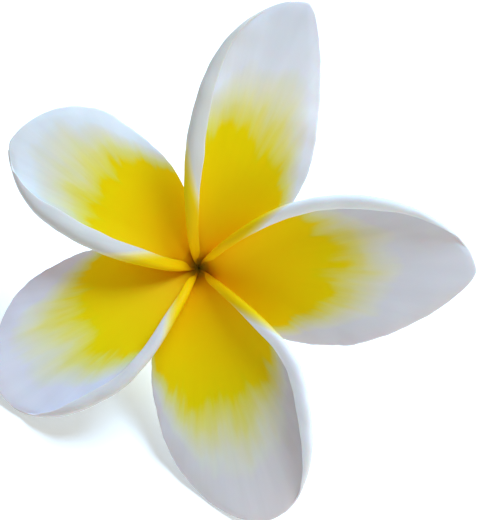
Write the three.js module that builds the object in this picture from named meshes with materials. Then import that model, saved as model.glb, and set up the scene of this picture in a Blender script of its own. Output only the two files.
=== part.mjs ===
// Plumeria blossom: five overlapping petals on a narrow corolla tube, with the calyx, the short
// cut stalk and the hidden stamens and pistil. Millimetres, +Z up.
//
// Every piece is drawn in the blossom's own frame: the throat is the origin, +Z comes out of the
// face along the tube, and angles are counted anticlockwise as the face is seen from the front.
// The whole blossom is then laid on its side, resting on two petals and on the end of its stalk.

import * as THREE from 'three';

// ---- Petals ------------------------------------------------------------------------------
// axis: direction of the petal, degrees. length: throat to tip. drift: sideways shift of the tip.
// A side runs out to its reach at the share "widest" of the length. baseCurve and tipCurve are
// the powers that bend it before and after that point. lip: width of the rolled margin, which
// has faded out at the share "lipEnd" of the length.
const PETALS = [
  {
    name: 'petal_top', axis: 71, length: 45.8, drift: -3.0, lip: 2.9, lipEnd: 0.9,
    rolled: { reach: 10.3, widest: 0.67, baseCurve: 2.1, tipCurve: 1.9 },
    tucked: { reach: 11.2, widest: 0.45, baseCurve: 2.5, tipCurve: 1.35 },
  },
  {
    name: 'petal_right', axis: 0, length: 44.5, drift: -0.5, lip: 2.0, lipEnd: 1.0,
    rolled: { reach: 11.9, widest: 0.56, baseCurve: 2.35, tipCurve: 1.8 },
    tucked: { reach: 12.4, widest: 0.53, baseCurve: 3.0, tipCurve: 1.4 },
  },
  {
    name: 'petal_bottom', axis: 284, length: 41.9, drift: 1.0, lip: 2.1, lipEnd: 0.97,
    rolled: { reach: 12.1, widest: 0.47, baseCurve: 1.5, tipCurve: 2.1 },
    tucked: { reach: 12.4, widest: 0.58, baseCurve: 3.0, tipCurve: 1.8 },
  },
  {
    name: 'petal_lower_left', axis: 211, length: 37.4, drift: 0.5, lip: 1.9, lipEnd: 0.88,
    rolled: { reach: 10.2, widest: 0.5, baseCurve: 1.3, tipCurve: 3.0 },
    tucked: { reach: 12.5, widest: 0.62, baseCurve: 3.0, tipCurve: 1.7 },
  },
  {
    name: 'petal_upper_left', axis: 149, length: 36.2, drift: -2.0, lip: 2.8, lipEnd: 0.9,
    rolled: { reach: 7.3, widest: 0.68, baseCurve: 2.3, tipCurve: 1.65 },
    tucked: { reach: 13.1, widest: 0.66, baseCurve: 3.2, tipCurve: 1.8 },
  },
];
const PETAL_THICKNESS = 0.7;
const THROAT_RADIUS = 1.7; // where the petals start
const THROAT_HALF_ANGLE = 25; // half the angle that a petal fills there
const OPEN_HALF_ANGLE = 50; // and from OPEN_RADIUS outwards
const OPEN_RADIUS = 5.0;

// The face is a shallow funnel: a steep throat, then an even rise that levels out at the rim.
const THROAT_DROP = 3.2;
const THROAT_FADE = 2.6;
const FACE_RISE = 8.5;
const RIM_RADIUS = 44;

// Each petal is turned like a propeller blade, so its rolled side rides over the next petal.
const TWIST_RISE = 3.0; // mm per radian of angle around the throat
const TWIST_FADE = 4.0;

// Rolled margin: it curls up through 90 degrees, then leans back over its own petal.
const LIP_RADIUS = 1.3; // of the upturned part
const LIP_LEAN_RISE = 1.4; // height gained while it leans back
const LIP_TURN = 160; // how far it curls, degrees
const LIP_START_TURN = 45; // at the throat
const LIP_END_TURN = 30; // where it has unrolled
const LIP_START_SCALE = 0.6; // share of its full size at the throat
const LIP_GROWTH = 0.3; // share of the petal's length over which it grows
const LIP_FADE = 0.4; // share of the petal's length over which it unrolls

// The sides of a petal end at two corners, and the rounded tip between them closes it.
const CORNER_SHARE = 0.94; // of the petal's length
const TIP_BEND_START = 0.4; // share of the rows from where they bend towards the tip's arc

// ---- Tube, calyx and stalk (heights along the blossom's axis) ------------------------------
const TUBE_WALL = 0.45;
const TUBE_OUTLINE = [ // outer radius, height
  [1.7, -17.2], [1.75, -15.2], [1.95, -13.0], [1.8, -11.0], [1.55, -8.5], [1.6, -6.0], [2.25, -3.35],
];
const CALYX_LOBES = 5;
const CALYX_FLOOR = -17.5;
const CALYX_BOTTOM = -18.6;
const CALYX_RIM = -15.2; // height between two lobes
const CALYX_LOBE_HEIGHT = 1.2;
const CALYX_LOBE_ROUNDNESS = 0.7;
const CALYX_BORE = 2.1;
const CALYX_WALL = 0.5;
const CALYX_ROUNDING = 0.2;
const STALK_TOP = -18.9;
const STALK_END = -26.0;
const STALK_RADIUS = 0.95;
const STALK_TOP_RADIUS = 1.2;

// ---- Stamens and pistil ----------------------------------------------------------------------
const STAMENS = 5;
const STAMEN_RING = 0.9;
const ANTHER_RADIUS = 0.28;
const ANTHER_MIDDLE = -12.8;
const ANTHER_LENGTH = 2.2;
const ANTHER_SHAPE = [ // share of its radius, share of its length from the foot
  [0, 0], [0.6, 0], [1, 0.3], [0.8, 0.7], [0, 1],
];
const PISTIL_OUTLINE = [ // radius, height
  [0, -17.2], [0.75, -17.2], [0.85, -16.6], [0.35, -15.6], [0.3, -13.2], [0.35, -12.6], [0, -12.2],
];

// ---- Lying pose --------------------------------------------------------------------------------
const LYING_TURN = 26.51; // about the blossom's own axis
const LYING_TILT = 46.34; // of that axis from upright
const THROAT_PLACE = new THREE.Vector3(-2.0, 2.18, 18.63); // stands the piece on z = 0

// ---- Grids ---------------------------------------------------------------------------------------
const PETAL_ROWS = 18;
const ROW_BUNCHING = 1.15; // over 1 packs the rows closer at the throat
const BLADE_COLUMNS = 8;
const LIP_COLUMNS = 6;
const ROUND_SIDES = 20;
const TUBE_STEPS = 12;
const CALYX_SIDES = CALYX_LOBES * 8;
const SMALL_SIDES = 10;

const { degToRad, lerp, smoothstep } = THREE.MathUtils;

/** Height of the middle petal surface at a distance and an angle (radians) from a petal's axis. */
function surfaceHeight(radius, angle) {
  const throat = -THROAT_DROP * Math.exp(-(radius - THROAT_RADIUS) / THROAT_FADE);
  const face = FACE_RISE * (1 - (1 - radius / RIM_RADIUS) ** 2);
  const twist = TWIST_RISE * (1 - Math.exp(-radius / TWIST_FADE));
  return throat + face + twist * angle;
}

/** How far one side of a petal reaches from its axis at a share of its length. */
function sideReach(side, share) {
  if (share < side.widest) {
    const left = (side.widest - share) / side.widest;
    return side.reach * (1 - left ** side.baseCurve);
  }
  const past = Math.min((share - side.widest) / (1 - side.widest), 1);
  return side.reach * (1 - past ** side.tipCurve) ** (1 / side.tipCurve);
}

/** The reach again, kept inside the angle that a petal may fill near the throat. */
function limitedReach(side, share, along) {
  const opening = smoothstep(along, THROAT_RADIUS, OPEN_RADIUS);
  const halfAngle = degToRad(lerp(THROAT_HALF_ANGLE, OPEN_HALF_ANGLE, opening));
  return Math.min(sideReach(side, share), along * Math.tan(halfAngle));
}

/** Share of the petal's length at which its rounded tip lies, "aside" of the way to a corner. */
function tipShare(side, aside) {
  const reach = aside * sideReach(side, CORNER_SHARE) / side.reach;
  return side.widest + (1 - side.widest) * (1 - reach ** side.tipCurve) ** (1 / side.tipCurve);
}

/** Points of the middle surface across a petal: offset from its axis, height above the blade. */
function sectionPoints(petal, share, rolled, tucked) {
  const growth = smoothstep(share, 0, LIP_GROWTH);
  const fade = smoothstep(share, petal.lipEnd - LIP_FADE, petal.lipEnd);
  const turn = degToRad(lerp(lerp(LIP_START_TURN, LIP_TURN, growth), LIP_END_TURN, fade));
  const scale = lerp(LIP_START_SCALE, 1, growth);
  const upright = Math.PI / 2;
  const radius = LIP_RADIUS * scale;
  const leanWidth = petal.lip * scale / (1 - Math.cos(degToRad(LIP_TURN) - upright));
  const bladeEnd = rolled - radius * Math.sin(Math.min(turn, upright));
  const points = [];
  for (let column = 0; column < BLADE_COLUMNS; column += 1) {
    points.push([lerp(-tucked, bladeEnd, column / BLADE_COLUMNS), 0]);
  }
  for (let column = 0; column <= LIP_COLUMNS; column += 1) {
    const curl = turn * column / LIP_COLUMNS;
    const rise = Math.min(curl, upright);
    const lean = curl - rise;
    points.push([
      bladeEnd + radius * Math.sin(rise) - leanWidth * (1 - Math.cos(lean)),
      radius * (1 - Math.cos(rise)) + LIP_LEAN_RISE * scale * Math.sin(lean),
    ]);
  }
  return points;
}

/** One row of the middle surface, in the blossom's frame. Step 0 is the throat, 1 the tip. */
function petalRow(petal, step) {
  const axis = degToRad(petal.axis);
  const share = lerp(THROAT_RADIUS / petal.length, CORNER_SHARE, step);
  const bend = smoothstep(step, TIP_BEND_START, 1);
  const rolled = limitedReach(petal.rolled, share, share * petal.length) - PETAL_THICKNESS / 2;
  const tucked = limitedReach(petal.tucked, share, share * petal.length);
  return sectionPoints(petal, share, rolled, tucked).map(([offset, lift]) => {
    const side = offset < 0 ? petal.tucked : petal.rolled;
    const aside = Math.min(Math.abs(offset) / (offset < 0 ? tucked : rolled), 1);
    const placed = share + bend * (tipShare(side, aside) - CORNER_SHARE);
    const along = placed * petal.length;
    const across = offset + petal.drift * placed ** 2;
    const radius = Math.hypot(along, across);
    const angle = Math.atan2(across, along);
    return new THREE.Vector3(
      radius * Math.cos(axis + angle),
      radius * Math.sin(axis + angle),
      surfaceHeight(radius, angle) + lift,
    );
  });
}

/** The middle surface of a petal, row by row from the throat. */
function petalSurface(petal) {
  const rows = [];
  for (let row = 0; row <= PETAL_ROWS; row += 1) {
    rows.push(petalRow(petal, (row / PETAL_ROWS) ** ROW_BUNCHING));
  }
  return rows;
}

/** Normal at one grid point: square to the next column and to the slope along the petal. */
function gridNormal(rows, row, column, aside) {
  const last = rows.length - 1;
  const end = rows[0].length - 1;
  const along = rows[Math.min(row + 1, last)][column].clone();
  along.sub(rows[Math.max(row - 1, 0)][column]).projectOnPlane(aside);
  const across = rows[row][Math.min(column + 1, end)].clone();
  across.sub(rows[row][Math.max(column - 1, 0)]);
  return along.cross(across).normalize();
}

/** Closed solid between a petal's middle surface moved out and in by half its thickness. */
function petalGeometry(petal) {
  const axis = degToRad(petal.axis);
  const aside = new THREE.Vector3(-Math.sin(axis), Math.cos(axis), 0);
  const rows = petalSurface(petal);
  const columns = rows[0].length;
  const positions = [];
  for (const side of [0.5, -0.5]) {
    rows.forEach((points, row) => points.forEach((point, column) => {
      const normal = gridNormal(rows, row, column, aside);
      const moved = normal.multiplyScalar(side * PETAL_THICKNESS).add(point);
      positions.push(moved.x, moved.y, moved.z);
    }));
  }
  const back = rows.length * columns;
  const indices = [];
  const quad = (a, b, c, d) => indices.push(a, b, c, a, c, d);
  for (let row = 0; row < rows.length - 1; row += 1) {
    for (let column = 0; column < columns - 1; column += 1) {
      const a = row * columns + column;
      quad(a, a + columns, a + columns + 1, a + 1);
      quad(back + a, back + a + 1, back + a + columns + 1, back + a + columns);
    }
  }
  for (let row = 0; row < rows.length - 1; row += 1) {
    const a = row * columns;
    const b = a + columns - 1;
    quad(a, back + a, back + a + columns, a + columns);
    quad(b, b + columns, back + b + columns, back + b);
  }
  const lastRow = (rows.length - 1) * columns;
  for (let column = 0; column < columns - 1; column += 1) {
    quad(column, column + 1, back + column + 1, back + column);
    const a = lastRow + column;
    quad(a, back + a, back + a + 1, a + 1);
  }
  const geometry = new THREE.BufferGeometry();
  geometry.setAttribute('position', new THREE.Float32BufferAttribute(positions, 3));
  geometry.setIndex(indices);
  return geometry;
}

/** Lathe about the blossom's axis. The outline runs upwards on the outside. */
function turned(outline, sides = ROUND_SIDES) {
  const points = outline.map(([radius, height]) => new THREE.Vector2(radius, height));
  return new THREE.LatheGeometry(points, sides).rotateX(Math.PI / 2);
}

/** The tube: an even wall, open at both ends, on a smooth outline. */
function tubeGeometry() {
  const knots = TUBE_OUTLINE.map(([radius, height]) => new THREE.Vector2(radius, height));
  const outer = new THREE.SplineCurve(knots).getPoints(TUBE_STEPS);
  const inner = outer.map((point) => new THREE.Vector2(point.x - TUBE_WALL, point.y)).reverse();
  return turned([...outer, ...inner, outer[0]].map((point) => [point.x, point.y]));
}

/** Outline of the calyx at an angle: up the outside, over the lobed rim and down the bore. */
function calyxOutline(angle) {
  const outerRadius = CALYX_BORE + CALYX_WALL;
  const lobe = Math.abs(Math.cos(angle * CALYX_LOBES / 2)) ** CALYX_LOBE_ROUNDNESS;
  const rim = CALYX_RIM + CALYX_LOBE_HEIGHT * lobe;
  const middle = lerp(CALYX_FLOOR, rim, 0.5);
  return [
    [0, CALYX_BOTTOM], [STALK_TOP_RADIUS, CALYX_BOTTOM],
    [outerRadius - CALYX_ROUNDING, CALYX_FLOOR], [outerRadius, middle],
    [outerRadius - CALYX_ROUNDING / 2, rim], [CALYX_BORE, rim],
    [CALYX_BORE, middle], [CALYX_BORE, CALYX_FLOOR], [0, CALYX_FLOOR],
  ];
}

/** The calyx: a small solid-floored cup whose rim rises in rounded lobes. */
function calyxGeometry() {
  const base = calyxOutline(0);
  const geometry = turned(base, CALYX_SIDES);
  const { position } = geometry.attributes;
  for (let index = 0; index < position.count; index += 1) {
    const side = Math.floor(index / base.length) % CALYX_SIDES;
    const outline = calyxOutline(side / CALYX_SIDES * 2 * Math.PI);
    position.setZ(index, outline[index % base.length][1]);
  }
  return geometry;
}

/** The cut stalk, a little wider where it meets the calyx. */
function stalkGeometry() {
  const shoulder = lerp(STALK_END, STALK_TOP, 0.7);
  return turned([
    [0, STALK_END], [STALK_RADIUS, STALK_END], [STALK_RADIUS, shoulder],
    [STALK_TOP_RADIUS, STALK_TOP], [0, STALK_TOP],
  ]);
}

/** One stamen: a slim anther, pointed at the top. */
function stamenGeometry() {
  const foot = ANTHER_MIDDLE - ANTHER_LENGTH / 2;
  const outline = ANTHER_SHAPE.map(([wide, high]) => [
    wide * ANTHER_RADIUS, foot + high * ANTHER_LENGTH,
  ]);
  return turned(outline, SMALL_SIDES);
}

/** A dull, non-metallic plant surface. */
function finish(color, roughness) {
  return new THREE.MeshStandardMaterial({ color, roughness, metalness: 0 });
}

const blossom = new THREE.Group();

/** Adds one named piece to the blossom. */
function addPiece(name, geometry, material) {
  const piece = new THREE.Mesh(geometry, material);
  piece.name = name;
  blossom.add(piece);
  return piece;
}

for (const petal of PETALS) {
  addPiece(petal.name, petalGeometry(petal), finish('#f4f1e2', 0.6));
}
addPiece('corolla_tube', tubeGeometry(), finish('#d8d98a', 0.6));
addPiece('calyx', calyxGeometry(), finish('#8ea44e', 0.65));
addPiece('stalk', stalkGeometry(), finish('#7f9a46', 0.65));
for (let index = 0; index < STAMENS; index += 1) {
  const angle = index / STAMENS * 2 * Math.PI;
  const stamen = addPiece(`stamen_${index + 1}`, stamenGeometry(), finish('#e6cf6a', 0.7));
  stamen.position.set(STAMEN_RING * Math.cos(angle), STAMEN_RING * Math.sin(angle), 0);
}
addPiece('pistil', turned(PISTIL_OUTLINE, SMALL_SIDES), finish('#b9c27a', 0.6));

blossom.rotation.set(degToRad(LYING_TILT), 0, degToRad(LYING_TURN), 'XYZ');
blossom.position.copy(THROAT_PLACE);

const part = new THREE.Group();
part.add(blossom);

export default part;
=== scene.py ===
"""A plumeria blossom, laid on a pale table as picked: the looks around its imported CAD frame.

The blossom's tables are in millimetres in its own frame, the one its CAD pieces are drawn in: the
throat is the origin, +Z comes out of the open face along the tube, and angles are counted
anticlockwise as the face is seen from the front. Blender's objects are in metres, lying on z = 0.
"""

import logging
import math
from collections.abc import Mapping
from dataclasses import dataclass
from enum import Enum

import bpy
import numpy as np
from mathutils import Matrix, Vector


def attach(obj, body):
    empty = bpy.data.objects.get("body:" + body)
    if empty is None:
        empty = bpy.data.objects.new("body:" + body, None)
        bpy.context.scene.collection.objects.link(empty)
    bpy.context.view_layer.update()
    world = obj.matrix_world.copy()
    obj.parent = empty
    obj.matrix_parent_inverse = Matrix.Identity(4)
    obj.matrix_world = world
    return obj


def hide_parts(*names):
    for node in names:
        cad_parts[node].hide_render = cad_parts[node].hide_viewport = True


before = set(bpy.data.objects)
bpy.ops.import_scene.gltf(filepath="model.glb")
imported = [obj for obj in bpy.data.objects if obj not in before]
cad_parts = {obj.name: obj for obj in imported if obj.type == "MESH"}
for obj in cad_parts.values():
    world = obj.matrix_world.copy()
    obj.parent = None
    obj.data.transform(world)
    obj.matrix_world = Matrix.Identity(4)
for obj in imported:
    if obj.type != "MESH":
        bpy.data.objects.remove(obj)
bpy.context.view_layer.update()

Array = np.ndarray
Material = bpy.types.Material
Piece = bpy.types.Object
Socket = bpy.types.NodeSocket
Tree = bpy.types.NodeTree
Band = tuple[float, float]  # where a change starts and where it is complete
Outline = tuple[tuple[float, float], ...]  # radius and height of each ring, in millimetres
Stops = tuple[tuple[float, str], ...]  # place and sRGB hex colour of each stop of a ramp

LOG = logging.getLogger("plumeria")
MM = 0.001
PLAN_UV = "plan"  # along the petal's axis and aside of it
VEIN_UV = "veins"  # along the petal and round the blossom's axis, as its veins fan out
MARGIN_UV = "margins"  # distance from the rolled margin's free edge and from the tucked one
UV_SPAN = 50.0  # millimetres of petal that one unit of a UV map covers
UPRIGHT = math.pi / 2
MIXING = {"data_type": "RGBA"}  # a Mix node's settings where it mixes two colours
SHADING = {"data_type": "RGBA", "blend_type": "MULTIPLY"}  # and where it darkens one


class Slot(Enum):
    """The record's material slots."""

    PETAL = "petal"
    TUBE = "tube"
    CALYX = "calyx"
    STALK = "stalk"
    STAMEN = "stamen"
    PISTIL = "pistil"


# ---- Small helpers ---------------------------------------------------------------------------


def linear(code: str) -> tuple[float, float, float, float]:
    """Turns an sRGB hex colour into Blender's linear one.

    Args:
        code: The colour, such as "#ffeeaa".

    Returns:
        Red, green, blue and an alpha of one.
    """
    shares = [int(code[i : i + 2], 16) / 255 for i in (1, 3, 5)]
    rgb = [s / 12.92 if s <= 0.04045 else ((s + 0.055) / 1.055) ** 2.4 for s in shares]
    return (rgb[0], rgb[1], rgb[2], 1.0)


def ease(value: Array | float, low: float, high: float) -> Array:
    """Smooth step from 0 at low to 1 at high."""
    share = np.clip((np.asarray(value, float) - low) / (high - low), 0, 1)
    return share * share * (3 - 2 * share)


def blend(start: Array | float, end: Array | float, share: Array) -> Array:
    """Goes from start to end as share goes from 0 to 1."""
    return start + (end - start) * share


def waves(place: Array, lengths: tuple[float, ...], seed: int) -> Array:
    """A smooth random wave: sines of the given lengths with seeded phases.

    Args:
        place: Millimetres along the wave.
        lengths: Wavelengths in millimetres.
        seed: Chooses the phases.

    Returns:
        The wave's height at each place, between -1 and 1.
    """
    phases = np.random.default_rng(seed).uniform(0, 2 * math.pi, len(lengths))
    parts = [np.sin(2 * math.pi * place / w + f) for w, f in zip(lengths, phases, strict=True)]
    return sum(parts) / len(parts)


# ---- Where the blossom lies ------------------------------------------------------------------


@dataclass(frozen=True)
class Lying:
    """How the blossom's own frame lies on the table."""

    turn: float = 26.51  # degrees about the tube's axis
    tilt: float = 46.34  # degrees that the face then leans towards the viewer
    throat: tuple[float, float, float] = (-2.0, 2.18, 18.63)  # millimetres in the table's frame

    def matrix(self) -> Matrix:
        """Works out how the blossom was laid down.

        Returns:
            The transform from the blossom's frame in metres to the table's frame.
        """
        tilted = Matrix.Rotation(math.radians(self.tilt), 4, "X")
        turned = Matrix.Rotation(math.radians(self.turn), 4, "Z")
        return Matrix.Translation(Vector(self.throat) * MM) @ tilted @ turned

    def place(self, points: Array) -> Array:
        """Turns rows of millimetres in the blossom's frame into metres in the table's frame."""
        matrix = np.array(self.matrix())
        return points * MM @ matrix[:3, :3].T + matrix[:3, 3]


LYING = Lying()


# ---- Working on meshes -----------------------------------------------------------------------


def deselect() -> None:
    """Leaves object mode with nothing selected."""
    if bpy.context.object and bpy.context.object.mode != "OBJECT":
        bpy.ops.object.mode_set(mode="OBJECT")
    bpy.ops.object.select_all(action="DESELECT")


def pick(piece: Piece) -> None:
    """Selects one piece alone and makes it active.

    Args:
        piece: The piece.
    """
    deselect()
    piece.select_set(True)
    bpy.context.view_layer.objects.active = piece


def take(name: str) -> Piece:
    """Names the primitive that was just added.

    Args:
        name: For the piece and its mesh.

    Returns:
        The piece.
    """
    piece = bpy.context.active_object
    piece.name = piece.data.name = name
    return piece


def modify(piece: Piece, kind: str, **settings: object) -> None:
    """Adds a modifier to a piece and applies it.

    Args:
        piece: The mesh object.
        kind: Blender's name for the modifier type.
        settings: The modifier's properties.
    """
    pick(piece)
    modifier = piece.modifiers.new(kind.title(), kind)
    for key, value in settings.items():
        setattr(modifier, key, value)
    bpy.ops.object.modifier_apply(modifier=modifier.name)


def round_off(piece: Piece) -> None:
    """Subdivides a piece once into a smooth surface."""
    modify(piece, "SUBSURF", levels=1, render_levels=1)


def thicken(piece: Piece, weights: Array, thin: float, **settings: object) -> None:
    """Gives an open sheet a wall of uneven thickness.

    Args:
        piece: The sheet.
        weights: For each vertex, from 0 where the wall is thinnest to 1 where it is full.
        thin: Share of the full thickness where the wall is thinnest.
        settings: The solidify modifier's other properties.
    """
    group = piece.vertex_groups.new(name="thickness")
    for index, weight in enumerate(weights):
        group.add([index], float(weight), "REPLACE")
    modify(
        piece, "SOLIDIFY", vertex_group=group.name, thickness_vertex_group=thin, **settings
    )
    piece.vertex_groups.clear()


def vertex_places(piece: Piece) -> Array:
    """Reads where a piece's vertices are.

    Args:
        piece: The mesh object.

    Returns:
        Rows of x, y, z.
    """
    flat = np.zeros(len(piece.data.vertices) * 3)
    piece.data.vertices.foreach_get("co", flat)
    return flat.reshape(-1, 3)


def move_vertices(piece: Piece, places: Array) -> None:
    """Puts the piece's vertices at the given rows of x, y, z."""
    piece.data.vertices.foreach_set("co", places.astype(np.float32).ravel())
    piece.data.update()


def hand_over(piece: Piece, node: str) -> None:
    """Seats a finished piece on the frame in place of its CAD node.

    Args:
        piece: The finished piece.
        node: The CAD node that it stands for.
    """
    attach(piece, "root")
    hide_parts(node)


# ---- Working on materials --------------------------------------------------------------------


def add_node(
    tree: Tree,
    kind: str,
    inputs: Mapping[int | str, object] | None = None,
    **settings: object,
) -> bpy.types.Node:
    """Adds a shader node with its settings, values and links.

    Args:
        tree: The material's node tree.
        kind: The node's type, without its "ShaderNode" prefix.
        inputs: For each input, a value or the output socket that feeds it.
        settings: The node's own properties.

    Returns:
        The new node.
    """
    node = tree.nodes.new("ShaderNode" + kind)
    for key, value in settings.items():
        setattr(node, key, value)
    for key, value in (inputs or {}).items():
        if isinstance(value, Socket):
            tree.links.new(value, node.inputs[key])
        else:
            node.inputs[key].default_value = value
    return node


def new_material(name: str) -> tuple[Material, Tree]:
    """Starts a node material.

    Args:
        name: What the real finish is.

    Returns:
        The material and its empty tree.
    """
    material = bpy.data.materials.new(name)
    material.use_nodes = True
    material.node_tree.nodes.clear()
    return material, material.node_tree


def close_material(tree: Tree, color: Socket, **values: object) -> None:
    """Ends a material in a Principled shader.

    Args:
        tree: The material's node tree.
        color: What feeds the base colour.
        values: Other inputs, with underscores for the spaces in their names.
    """
    inputs = {key.replace("_", " "): value for key, value in values.items()}
    shader = add_node(tree, "BsdfPrincipled", {"Base Color": color, **inputs})
    add_node(tree, "OutputMaterial", {"Surface": shader.outputs[0]})


def span(band: Band, first: float = 0.0, last: float = 1.0) -> dict[int, float]:
    """The inputs with which a Map Range node goes from first to last over a band."""
    return {1: band[0], 2: band[1], 3: first, 4: last}


def set_ramp(node: bpy.types.Node, stops: Stops) -> None:
    """Fills a colour ramp.

    Args:
        node: The colour ramp node.
        stops: Place and sRGB hex colour of each stop, in order.
    """
    elements = node.color_ramp.elements
    while len(elements) < len(stops):
        elements.new(1.0)
    for element, (place, code) in zip(elements, stops, strict=True):
        element.position = place
        element.color = linear(code)


# ---- Petal finishes --------------------------------------------------------------------------


@dataclass(frozen=True)
class PetalMark:
    """One petal's yellow heart, tints and painted light and shade, in millimetres along the petal.
    """

    reach: float  # how far out the heart goes
    middle: float  # where its middle lies aside of the petal's axis
    half_width: float
    seed: float  # which part of the noise its streaks show
    white: str  # tint of the rest of the petal, with painted light and shade: each petal's white is a little lighter or darker as its face was lit
    lip: str  # painted light and shade on the back of its rolled margin: greyer where it lay in shade, paler where it was lit
    on_lip: float  # how far out the rolled margin is yellow
    tones: tuple[float, float, float]  # painted light and shade: how much lighter or darker the face is at its foot, middle and tip
    halo: float = 14.0  # width of the pale band around the heart


@dataclass(frozen=True)
class Streak:
    """Noise drawn out along a petal's veins, in millimetres."""

    length: float
    width: float
    detail: float  # finer octaves of noise
    shift: tuple[float, float, float] = (1.0, 1.7, 1.0)  # how a petal's seed moves it

    def noise(self, tree: Tree, seed: float) -> Socket:
        """Adds the noise to a petal's material.

        Args:
            tree: The material's node tree.
            seed: Which part of the noise the petal shows.

        Returns:
            A value from 0 to 1.
        """
        veins = add_node(tree, "UVMap", uv_map=VEIN_UV)
        start = [seed * step for step in self.shift]
        scale = (UV_SPAN / self.length, UV_SPAN / self.width, 1.0)
        drawn = add_node(
            tree, "Mapping", {0: veins.outputs[0], "Location": start, "Scale": scale}
        )
        noise = add_node(
            tree, "TexNoise", {"Vector": drawn.outputs[0], "Scale": 1.0, "Detail": self.detail}
        )
        return noise.outputs[0]


@dataclass(frozen=True)
class MarkEdge:
    """How a yellow tongue ends along a petal, drawn out in streaks, in millimetres."""

    power: float  # how blunt the tongue is
    narrowing: float  # how far it falls back at the heart's half width
    broad: float  # how far the broad streaks draw it out
    fine: float  # how far the fine streaks do
    colored: Band  # how far inside this edge its colour starts and is full


@dataclass(frozen=True)
class PetalSkin:
    """What both sides of a fresh petal share: its flesh, its veins and the gold of its heart."""

    name: str
    mark: PetalMark
    roughness: float = 0.5
    gloss: float = 0.05
    glow: float = 0.25  # share of the light that goes into the flesh
    depth: float = 0.9  # millimetres that it travels there
    vein: Streak = Streak(16.0, 1.3, 2.0)
    vein_noise: Band = (0.3, 0.7)
    vein_tone: Band = (0.965, 1.01)
    vein_relief: float = 0.05  # millimetres
    golden: Band = (0.6, 21.0)  # millimetres from the blossom's axis that the heart's ramp covers
    heart_stops: Stops = ()

    @staticmethod
    def read_map(tree: Tree, name: str) -> tuple[Socket, Socket]:
        """Reads one of the petal's UV maps.

        Args:
            tree: The material's node tree.
            name: Of the map.

        Returns:
            Its first place, turned into millimetres, and its second as it stands.
        """
        places = add_node(tree, "UVMap", uv_map=name)
        split = add_node(tree, "SeparateXYZ", {0: places.outputs[0]})
        first = add_node(tree, "Math", {0: split.outputs[0], 1: UV_SPAN}, operation="MULTIPLY")
        return first.outputs[0], split.outputs[1]

    def heart(self, tree: Tree, along: Socket) -> Socket:
        """Colours the heart from a pale pit over a darker ring and orange to lemon at its edge.

        The pit and the ring are painted light and shade: the pale pit lifts the throat's deep
        shade, and the darker ring paints the shade round it.

        Args:
            tree: The material's node tree.
            along: Millimetres along the petal.

        Returns:
            The colour.
        """
        place = add_node(tree, "MapRange", {0: along, **span(self.golden)})
        ramp = add_node(tree, "ValToRGB", {0: place.outputs[0]})
        set_ramp(ramp, self.heart_stops)
        return ramp.outputs[0]

    def finish(
        self, tree: Tree, color: Socket, veined: Socket | float, raised: Socket | float
    ) -> None:
        """Draws the lengthwise veins over the colour and ends the material.

        Args:
            tree: The material's node tree.
            color: The petal's colour.
            veined: From 0 to 1, how much of the veins' tone shows.
            raised: From 0 to 1, how much of their relief shows.
        """
        vein = self.vein.noise(tree, self.mark.seed)
        shade = add_node(tree, "MapRange", {0: vein, **span(self.vein_noise, *self.vein_tone)})
        toned = add_node(tree, "Mix", {0: veined, 6: color, 7: shade.outputs[0]}, **SHADING)
        bump = add_node(
            tree, "Bump", {"Strength": raised, "Distance": self.vein_relief * MM, "Height": vein}
        )
        close_material(
            tree, toned.outputs[2], Roughness=self.roughness, Specular_IOR_Level=self.gloss,
            Normal=bump.outputs[0], Subsurface_Weight=self.glow,
            Subsurface_Scale=self.depth * MM,
        )


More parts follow.
